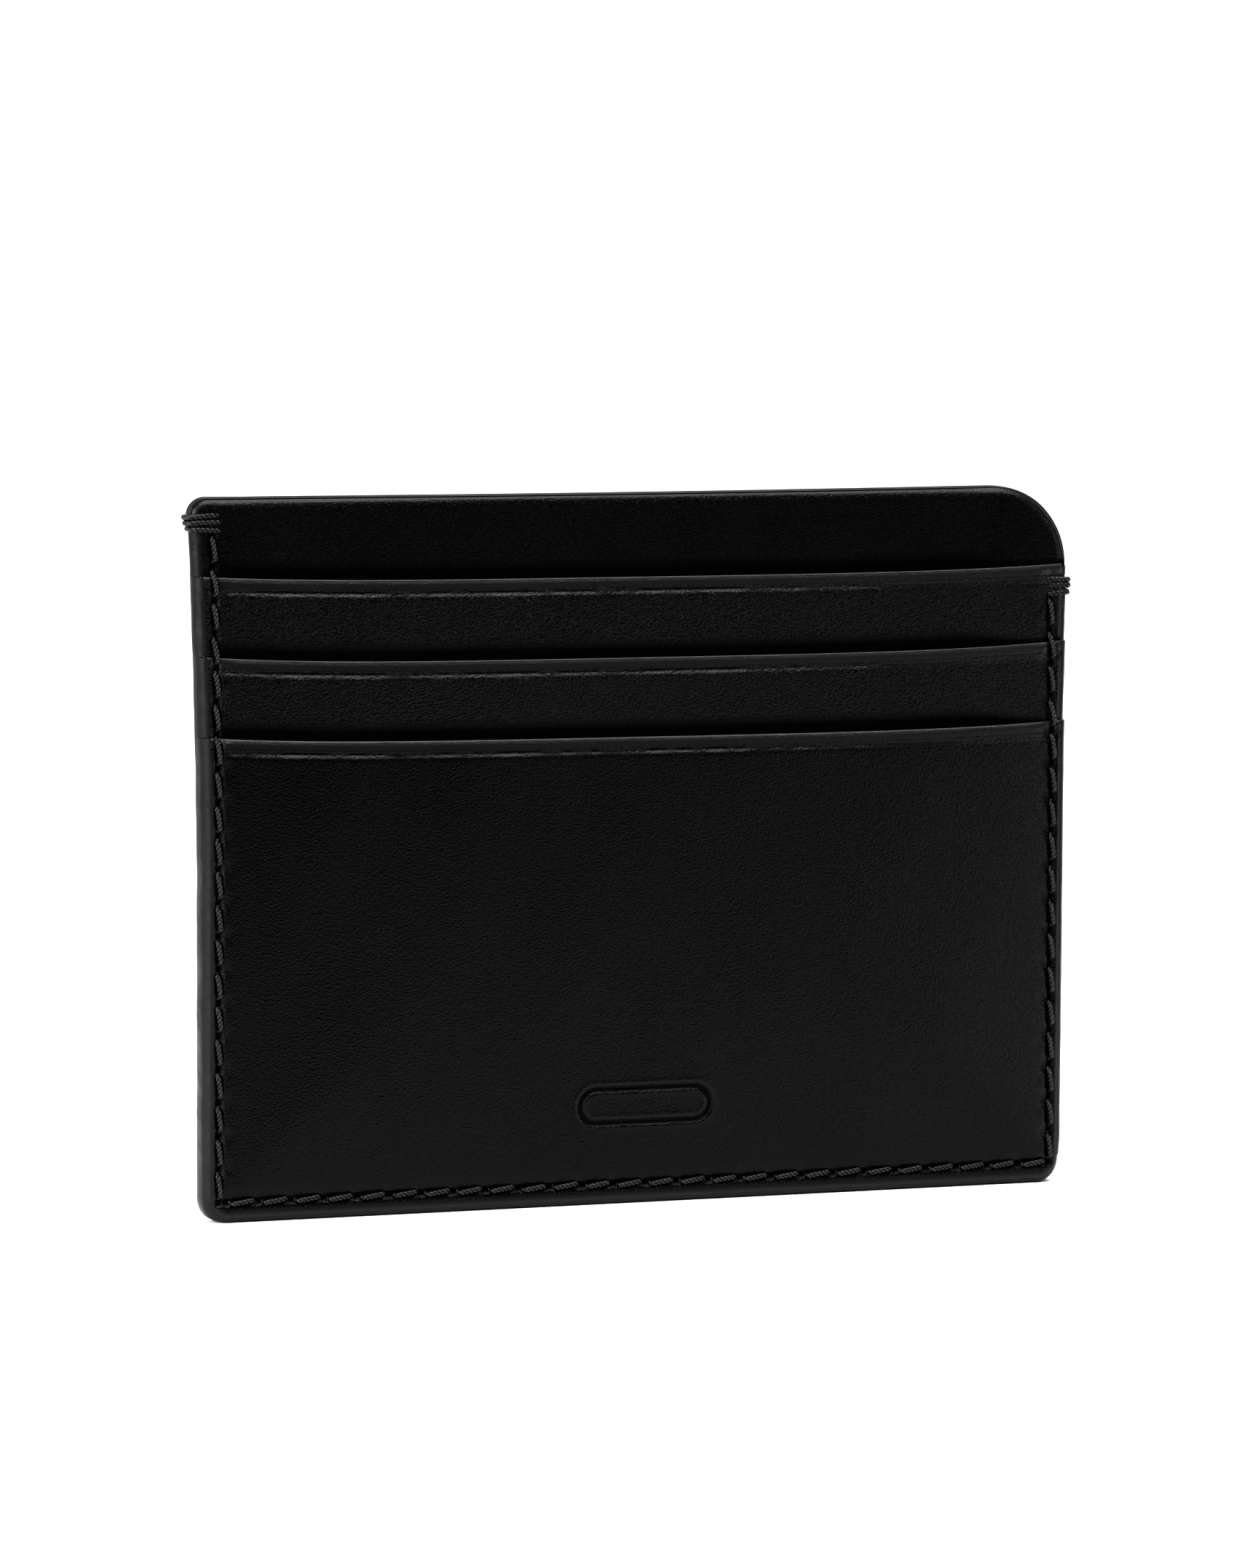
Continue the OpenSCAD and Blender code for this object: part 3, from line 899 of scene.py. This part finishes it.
def thread_piece(name, parts, material, node):
    points, faces = joined(parts)
    make_piece(name, points, faces, material, [node], smooth_angle=80)


def perimeter_thread(name, front, material):
    """Plied stitches of the lockstitch seam on one face."""
    rng = np.random.default_rng(11 if front else 12)
    parts = []
    for holes in seam_holes():
        for a, b in zip(holes[:-1], holes[1:]):
            line = stitch_line(a, b, front, (rng.normal(0, 0.025), rng.normal(0, 0.02)))
            parts.append(twisted(line, STITCH_W, STITCH_TURNS, rng.uniform(0, 6.3)))
    thread_piece(name + "_stitches", parts, material, name + "_thread")


def stop_thread(name, z, material):
    """Hidden level row that closes a slot, on its lining and on the back of the body."""
    rng = np.random.default_rng(13)
    node = name + "_stop_thread"
    low, high = box_mm(node)
    faces = ((depths(name + "_slot_lining")[0] + 0.02, name, -1),
             (depths("body_lining")[0] - 0.08, "body", 1))
    t = np.linspace(-1, 1, 9)
    parts = []
    for x in np.arange(low[0] + STOP_LEN / 2, high[0], STOP_PITCH):
        for y, layer, sign in faces:
            px, pz = x + t * STOP_LEN / 2, np.full_like(t, z)
            py = y - lift(LAYERS[layer], px, pz, np.full_like(t, DEEP)) - sign * 0.10 * t**4
            line = np.stack([px, py, pz], -1)
            parts.append(twisted(line, STOP_W, STOP_TURNS, rng.uniform(0, 6.3), corners=5))
    thread_piece(name + "_stop_stitches", parts, material, node)


def bar_tack(name, side, box, past_seam, extra, material):
    """Three uneven thread wraps over the edge. They start past_seam further in than the seam, and
    stand extra further out."""
    rng = np.random.default_rng(21 + side)
    low, high = box
    mid_z, tall = (low[2] + high[2]) / 2, high[2] - low[2]
    t = np.linspace(0, 1, 60)
    parts = []
    for k, (proud, tilt) in enumerate(WRAPS):
        z = mid_z + (k - 1) * tall / 3
        edge = float(side_limit(z, side, 0))
        front = float(rim_front(side * edge, z))
        start = HALF_W - SEAM_IN - past_seam - rng.uniform(0.0, 0.4)
        top = edge + proud + extra
        knots = np.array([
            (start, front + 0.30), (start + 0.12, front - 0.12), (edge - 1.1, front - 0.26),
            (edge - 0.3, front - 0.22), (edge + 0.12, front + 0.02), (top, front + 0.45),
            (top + 0.02, (front + BACK_Y) / 2), (top, BACK_Y - 0.45), (edge + 0.12, BACK_Y - 0.02),
            (edge - 0.3, BACK_Y + 0.05), (edge - 1.1, BACK_Y + 0.03), (start + 0.12, BACK_Y - 0.06),
            (start, BACK_Y - 0.35),
        ])
        line = rounded_line(knots, len(t))
        drift = 0.10 * np.sin(2.2 * t + k) + tilt * (0.5 - t) * smooth(1.6 * (1 - t))
        zs = z + drift + rng.uniform(-0.05, 0.05)
        points = np.stack([side * line[:, 0], line[:, 1], zs], -1)
        parts.append(twisted(points, TACK_W, TACK_TURNS, rng.uniform(0, 6.3)))
    thread_piece(name + "_tack_wraps", parts, material, name + "_bar_tack")


def rounded_line(knots, count):
    """Catmull-Rom line through knots, resampled evenly."""
    padded = np.concatenate([[2 * knots[0] - knots[1]], knots, [2 * knots[-1] - knots[-2]]])
    t = np.linspace(0, 1, 8, endpoint=False)[:, None]
    out = []
    for p0, p1, p2, p3 in zip(padded, padded[1:], padded[2:], padded[3:]):
        out.append(0.5 * (2 * p1 + (p2 - p0) * t + (2 * p0 - 5 * p1 + 4 * p2 - p3) * t**2
                          + (3 * p1 - p0 - 3 * p2 + p3) * t**3))
    out = np.concatenate(out + [knots[-1:]])
    run = run_along(out)
    even = np.linspace(0, run[-1], count)
    return np.stack([np.interp(even, run, out[:, k]) for k in range(out.shape[1])], -1)


# ---------------- materials


class Nodes:
    """Short calls for building the node tree of a material or world."""

    def __init__(self, owner):
        owner.use_nodes = True
        self.tree = owner.node_tree

    def add(self, kind, inputs=None, **settings):
        node = self.tree.nodes.new(kind)
        for key, value in settings.items():
            setattr(node, key, value)
        for key, value in (inputs or {}).items():
            self.feed(node.inputs[key], value)
        return node

    def set(self, **values):
        shader = self.tree.nodes["Principled BSDF"]
        for key, value in values.items():
            self.feed(shader.inputs[key.replace("_", " ")], value)

    def feed(self, socket, value):
        """Links an output to a socket, or sets the socket to a constant."""
        if isinstance(value, bpy.types.NodeSocket):
            self.tree.links.new(value, socket)
        else:
            socket.default_value = value

    def place(self, scale):
        """Object coordinates, stretched by a scale for each axis."""
        coords = self.add("ShaderNodeTexCoord").outputs["Object"]
        return self.add("ShaderNodeMapping", {"Vector": coords, "Scale": scale}).outputs["Vector"]

    def noise(self, scale, detail=2.0, rough=0.5):
        """Noise with so many cells to a metre, alike on every axis or one number for each."""
        if not isinstance(scale, tuple):
            scale = (scale, scale, scale)
        node = self.add("ShaderNodeTexNoise", {"Vector": self.place(scale), "Scale": 1.0,
                                               "Detail": detail, "Roughness": rough})
        return node.outputs["Fac"]

    def ramp(self, value, low, high, out_low, out_high):
        node = self.add("ShaderNodeMapRange", {"Value": value, "From Min": low, "From Max": high,
                                               "To Min": out_low, "To Max": out_high})
        return node.outputs["Result"]

    def math(self, operation, a, b):
        return self.add("ShaderNodeMath", {0: a, 1: b}, operation=operation).outputs["Value"]

    def blend(self, factor, a, b):
        node = self.add("ShaderNodeMix", {"Factor": factor}, data_type="RGBA")
        for name, value in (("A", a), ("B", b)):
            self.feed(next(s for s in node.inputs if s.name == name and s.type == "RGBA"), value)
        return next(s for s in node.outputs if s.type == "RGBA")

    def bump(self, height, distance, strength, normal=None):
        inputs = {"Height": height, "Distance": distance, "Strength": strength}
        if normal is not None:
            inputs["Normal"] = normal
        return self.add("ShaderNodeBump", inputs).outputs["Normal"]


def new_material(name):
    material = bpy.data.materials.new(name)
    return material, Nodes(material)


def grey(value):
    """A neutral colour, very slightly blue."""
    return (value, value, value * 1.03, 1)


def leather_material(name, wrinkle_scale, grain_strength, reflect):
    """Fine grain with short level wrinkles. Places smoothed by rubbing are also lighter and
    shinier, as real rubbing mixed with painted highlight; folds and needle holes are dull and near
    black, as painted shade.
    """
    material, n = new_material(name)
    # shade: below 0 painted shade, above 0 real rubbing mixed with painted highlight.
    shade = n.add("ShaderNodeAttribute", attribute_name="shade").outputs["Fac"]
    specks = n.ramp(n.noise((4600, 4600, 5000), 1, 0.4), 0.40, 0.70, 0, 1)
    creases = n.noise(wrinkle_scale, 2, 0.6)
    pores = n.noise((9000, 9000, 9600), 1)
    patches = n.noise((110, 110, 60), 2)
    grain = n.math("ADD", n.math("MULTIPLY", creases, 0.95), n.math("MULTIPLY", specks, 0.38))
    grain = n.math("ADD", grain, n.math("MULTIPLY", pores, 0.12))
    normal = n.bump(grain, 0.0001, n.ramp(shade, 0.1, 0.7, grain_strength, 0.22))
    base = n.blend(n.ramp(patches, 0.3, 0.7, 0, 1), grey(0.0006), grey(0.0012))
    # Lighter where shade is above 0: partly real rubbing, partly painted highlight.
    worn_and_highlit = n.blend(n.ramp(shade, 0.0, 1.0, 0, 1), base, grey(0.003))
    # Near black where shade is below 0: painted shade in needle holes, grooves and folds.
    colour = n.blend(n.ramp(shade, -0.9, -0.1, 1, 0), worn_and_highlit, grey(0.0004))
    patchy = n.ramp(patches, 0.3, 0.7, -0.012, 0.012)
    gloss = n.math("ADD", patchy, n.ramp(specks, 0, 1, 0.27, 0.23))
    gloss = n.math("ADD", gloss, n.ramp(shade, -0.9, -0.1, 0.3, 0))
    gloss = n.math("ADD", gloss, n.ramp(shade, 0.2, 0.8, 0, 0.14))
    n.set(Base_Color=colour, Roughness=gloss, Normal=normal, IOR=1.47)
    # Specular level drops almost to nothing as painted shade in holes and folds, and rises as
    # painted highlight mixed with rubbing.
    plain = n.ramp(shade, -0.9, 0.0, 0.02, reflect)
    n.set(Specular_IOR_Level=n.math("ADD", plain, n.ramp(shade, 0.1, 0.9, 0, 0.24)))
    return material


def paint_material(name, reflect):
    """Satin edge paint, brushed on a little unevenly."""
    material, n = new_material(name)
    uneven = n.noise(420, 3)
    fine = n.noise(2600, 2)
    normal = n.bump(fine, 0.00002, 0.5, n.bump(uneven, 0.00025, 0.7))
    colour = n.blend(uneven, grey(0.003), grey(0.009))
    n.set(Base_Color=colour, Roughness=n.ramp(uneven, 0.3, 0.7, 0.36, 0.52), Normal=normal, IOR=1.5)
    n.set(Specular_IOR_Level=reflect)
    return material


def thread_material():
    """Waxed polyester: glossy fibres, a little uneven in tone."""
    material, n = new_material("black_thread")
    fibres = n.noise(6500, 3, 0.6)
    tone = n.noise(800, 1)
    colour = n.blend(tone, grey(0.003), grey(0.008))
    n.set(Base_Color=colour, Roughness=n.ramp(fibres, 0.3, 0.7, 0.24, 0.38),
          Normal=n.bump(fibres, 0.00005, 0.7), Specular_IOR_Level=0.30)
    return material


def twill_material():
    """Matt cloth with the diagonal ribs of a twill."""
    material, n = new_material("black_twill_lining")
    ribs = {"Vector": n.place((1, 1, 1)), "Scale": 620.0, "Distortion": 0.6, "Detail": 1.0,
            "Detail Scale": 3.0}
    wave = n.add("ShaderNodeTexWave", ribs, bands_direction="DIAGONAL").outputs["Fac"]
    yarn = n.noise((2600, 2600, 900), 2)
    mixed = n.math("ADD", wave, n.math("MULTIPLY", yarn, 0.4))
    n.set(Base_Color=n.blend(wave, grey(0.008), grey(0.022)),
          Roughness=n.ramp(yarn, 0.3, 0.7, 0.75, 0.95),
          Normal=n.bump(mixed, 0.00008, 0.6), Sheen_Weight=0.2)
    return material


def adhesive_material():
    """Dried contact adhesive, cloudy and yellowish."""
    material, n = new_material("dried_adhesive")
    cloud = n.noise(700, 3)
    n.set(Base_Color=n.blend(cloud, (0.42, 0.36, 0.24, 1), (0.60, 0.55, 0.42, 1)),
          Roughness=n.ramp(cloud, 0.3, 0.7, 0.30, 0.55), Normal=n.bump(cloud, 0.00005, 0.4))
    return material


# ---------------- camera, floor and light

TARGET = Vector((-0.0013, 0.000175, 0.0460))
AZIMUTH, ELEVATION, ROLL = -20.8, 5.26, 0.29
DISTANCE, LENS = 0.833, 175.1
FLOOR_R, FLOOR_SIDES, FLOOR_Z = 0.27, 96, -0.00002
FRONT_GLOW, BACK_GLOW = 0.02, 1.0  # light from the surroundings in front of and behind the object
BACKDROP = 1.02
SOFTBOXES = (  # name, place, target, size, watts
    ("overhead", (0.06, -0.34, 0.54), (0, -0.02, 0.03), (0.6, 0.24), 4.2),
    ("top", (0.03, -0.10, 0.62), (0, -0.05, 0.0), (0.7, 0.24), 3.8),
    ("left", (-0.50, -0.16, 0.20), (0, 0, 0.04), (0.5, 0.4), 4.8),
    ("front_right", (0.36, -0.35, 0.04), (0.03, 0, 0.04), (0.20, 0.14), 0.48),
)


def add_object(name, data):
    made = bpy.data.objects.new(name, data)
    bpy.context.scene.collection.objects.link(made)
    return made


def make_camera():
    a, e = math.radians(AZIMUTH), math.radians(ELEVATION)
    back = Vector((math.sin(a) * math.cos(e), -math.cos(a) * math.cos(e), math.sin(e)))
    camera = add_object("camera", bpy.data.cameras.new("camera"))
    camera.data.lens, camera.data.sensor_width = LENS, 36.0
    camera.data.clip_start, camera.data.clip_end = 0.05, 50
    turn = back.to_track_quat("Z", "Y").to_matrix().to_4x4()
    camera.matrix_world = (Matrix.Translation(TARGET + back * DISTANCE) @ turn
                           @ Matrix.Rotation(math.radians(ROLL), 4, "Z"))
    bpy.context.scene.camera = camera


def softbox(name, place, target, size, power):
    light = bpy.data.lights.new(name, "AREA")
    light.shape, light.size, light.size_y, light.energy = "RECTANGLE", size[0], size[1], power
    lamp = add_object(name, light)
    lamp.location = place
    lamp.rotation_euler = (Vector(place) - Vector(target)).to_track_quat("Z", "Y").to_euler()


def make_world():
    """White backdrop; what the object reflects is bright behind it and dim in front."""
    world = bpy.data.worlds.new("studio")
    bpy.context.scene.world = world
    n = Nodes(world)
    n.tree.nodes.clear()
    toward = n.add("ShaderNodeSeparateXYZ", {0: n.add("ShaderNodeTexCoord").outputs["Generated"]})
    glow = n.ramp(toward.outputs["Y"], -0.35, 0.45, FRONT_GLOW, BACK_GLOW)
    lit, seen = (n.add("ShaderNodeBackground", {"Color": (1, 1, 1, 1), "Strength": strength})
                 for strength in (glow, BACKDROP))
    camera_ray = n.add("ShaderNodeLightPath").outputs["Is Camera Ray"]
    mix = n.add("ShaderNodeMixShader", {0: camera_ray, 1: lit.outputs[0], 2: seen.outputs[0]})
    n.add("ShaderNodeOutputWorld", {"Surface": mix.outputs[0]})


def floor_material():
    """Matt white, fading out at its rim so that it runs into the backdrop."""
    material, n = new_material("white_floor")
    tone = n.noise(30, 2)
    n.set(Base_Color=n.blend(tone, grey(0.86), grey(0.88)), Roughness=0.9)
    coords = n.add("ShaderNodeTexCoord").outputs["Object"]
    reach = n.add("ShaderNodeVectorMath", {0: coords}, operation="LENGTH").outputs["Value"]
    n.set(Alpha=n.ramp(reach, FLOOR_R * 0.60, FLOOR_R * 0.98, 1, 0))
    return material


def make_floor():
    turn = np.linspace(0, 2 * math.pi, FLOOR_SIDES, endpoint=False)
    points = [(FLOOR_R * math.cos(t), FLOOR_R * math.sin(t), FLOOR_Z) for t in turn]
    mesh = bpy.data.meshes.new("floor")
    mesh.from_pydata(points, [], [tuple(range(FLOOR_SIDES))])
    floor = add_object("floor", mesh)
    mesh.materials.append(floor_material())
    floor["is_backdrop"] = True


# ---------------- build


def build_object():
    leather = leather_material("black_leather", (2300, 2300, 3500), 0.85, 0.16)
    # The body's copy reflects half as much: painted shade for the top band, which the light leaves
    # darker.
    special = {"body": leather_material("black_body_leather_painted_shade", (2900, 2900, 3300), 0.90, 0.08),
               "front": leather_material("black_front_leather", (3300, 3300, 4300), 0.50, 0.14)}
    paint = paint_material("black_edge_paint", 0.17)
    bead = paint_material("burnished_edge_paint", 0.34)
    thread, twill, glue = thread_material(), twill_material(), adhesive_material()
    stop_z = {name: MOUTH[name] - STOP_DEPTH for name in STRIPS}
    for name in LAYERS:
        leather_sheet(name, special.get(name, leather))
    for name in ("back", "body"):
        lining_sheet(name + "_twill", name, name + "_lining", twill)
    for name in STRIPS:
        slot = name + "_slot"
        lining_sheet(name + "_twill", name, slot + "_lining", twill, slot + "_strip", stop_z[name])
    edge_coat("left_edge_paint", side_path(-1, SPLIT_Z, LEFT_TOP), "left_edge_coat", paint)
    edge_coat("bottom_edge_paint", bottom_path(), "bottom_edge_coat", paint)
    edge_coat("right_edge_paint", side_path(1, SPLIT_Z, RIGHT_TOP), "right_edge_coat", paint)
    top_coat("back", depths("back_lining")[0], BACK_Y, (0.02, 0.13), paint)
    top_coat("body", depths("body_panel")[0], depths("body_lining")[1], (0.23, 0.02), paint)
    for mouth in MOUTH:
        mouth_coat(mouth, bead)
    perimeter_thread("needle", True, thread)
    perimeter_thread("bobbin", False, thread)
    bar_tack("left", -1, LEFT_TACK, 0.45, 0.0, thread)
    bar_tack("right", 1, RIGHT_TACK, 0.0, 0.12, thread)
    for name in STRIPS:
        stop_thread(name, stop_z[name], thread)
    gaps = ("centre_pocket", "upper_slot", "middle_slot", "front_pocket")
    for gap, behind, ahead in zip(gaps, LAYERS, list(LAYERS)[1:]):
        glue_margin(gap, behind, ahead, glue)


def write_size():
    boxes = {"cad_box": CAD_BOX, "visual_box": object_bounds()}
    {name: [list(corner) for corner in box] for name, box in boxes.items()}


make_camera()
make_floor()
make_world()
for box in SOFTBOXES:
    softbox(*box)
build_object()
bpy.context.scene.view_settings.view_transform = "Standard"
bpy.context.scene.view_settings.look = "High Contrast"
write_size()
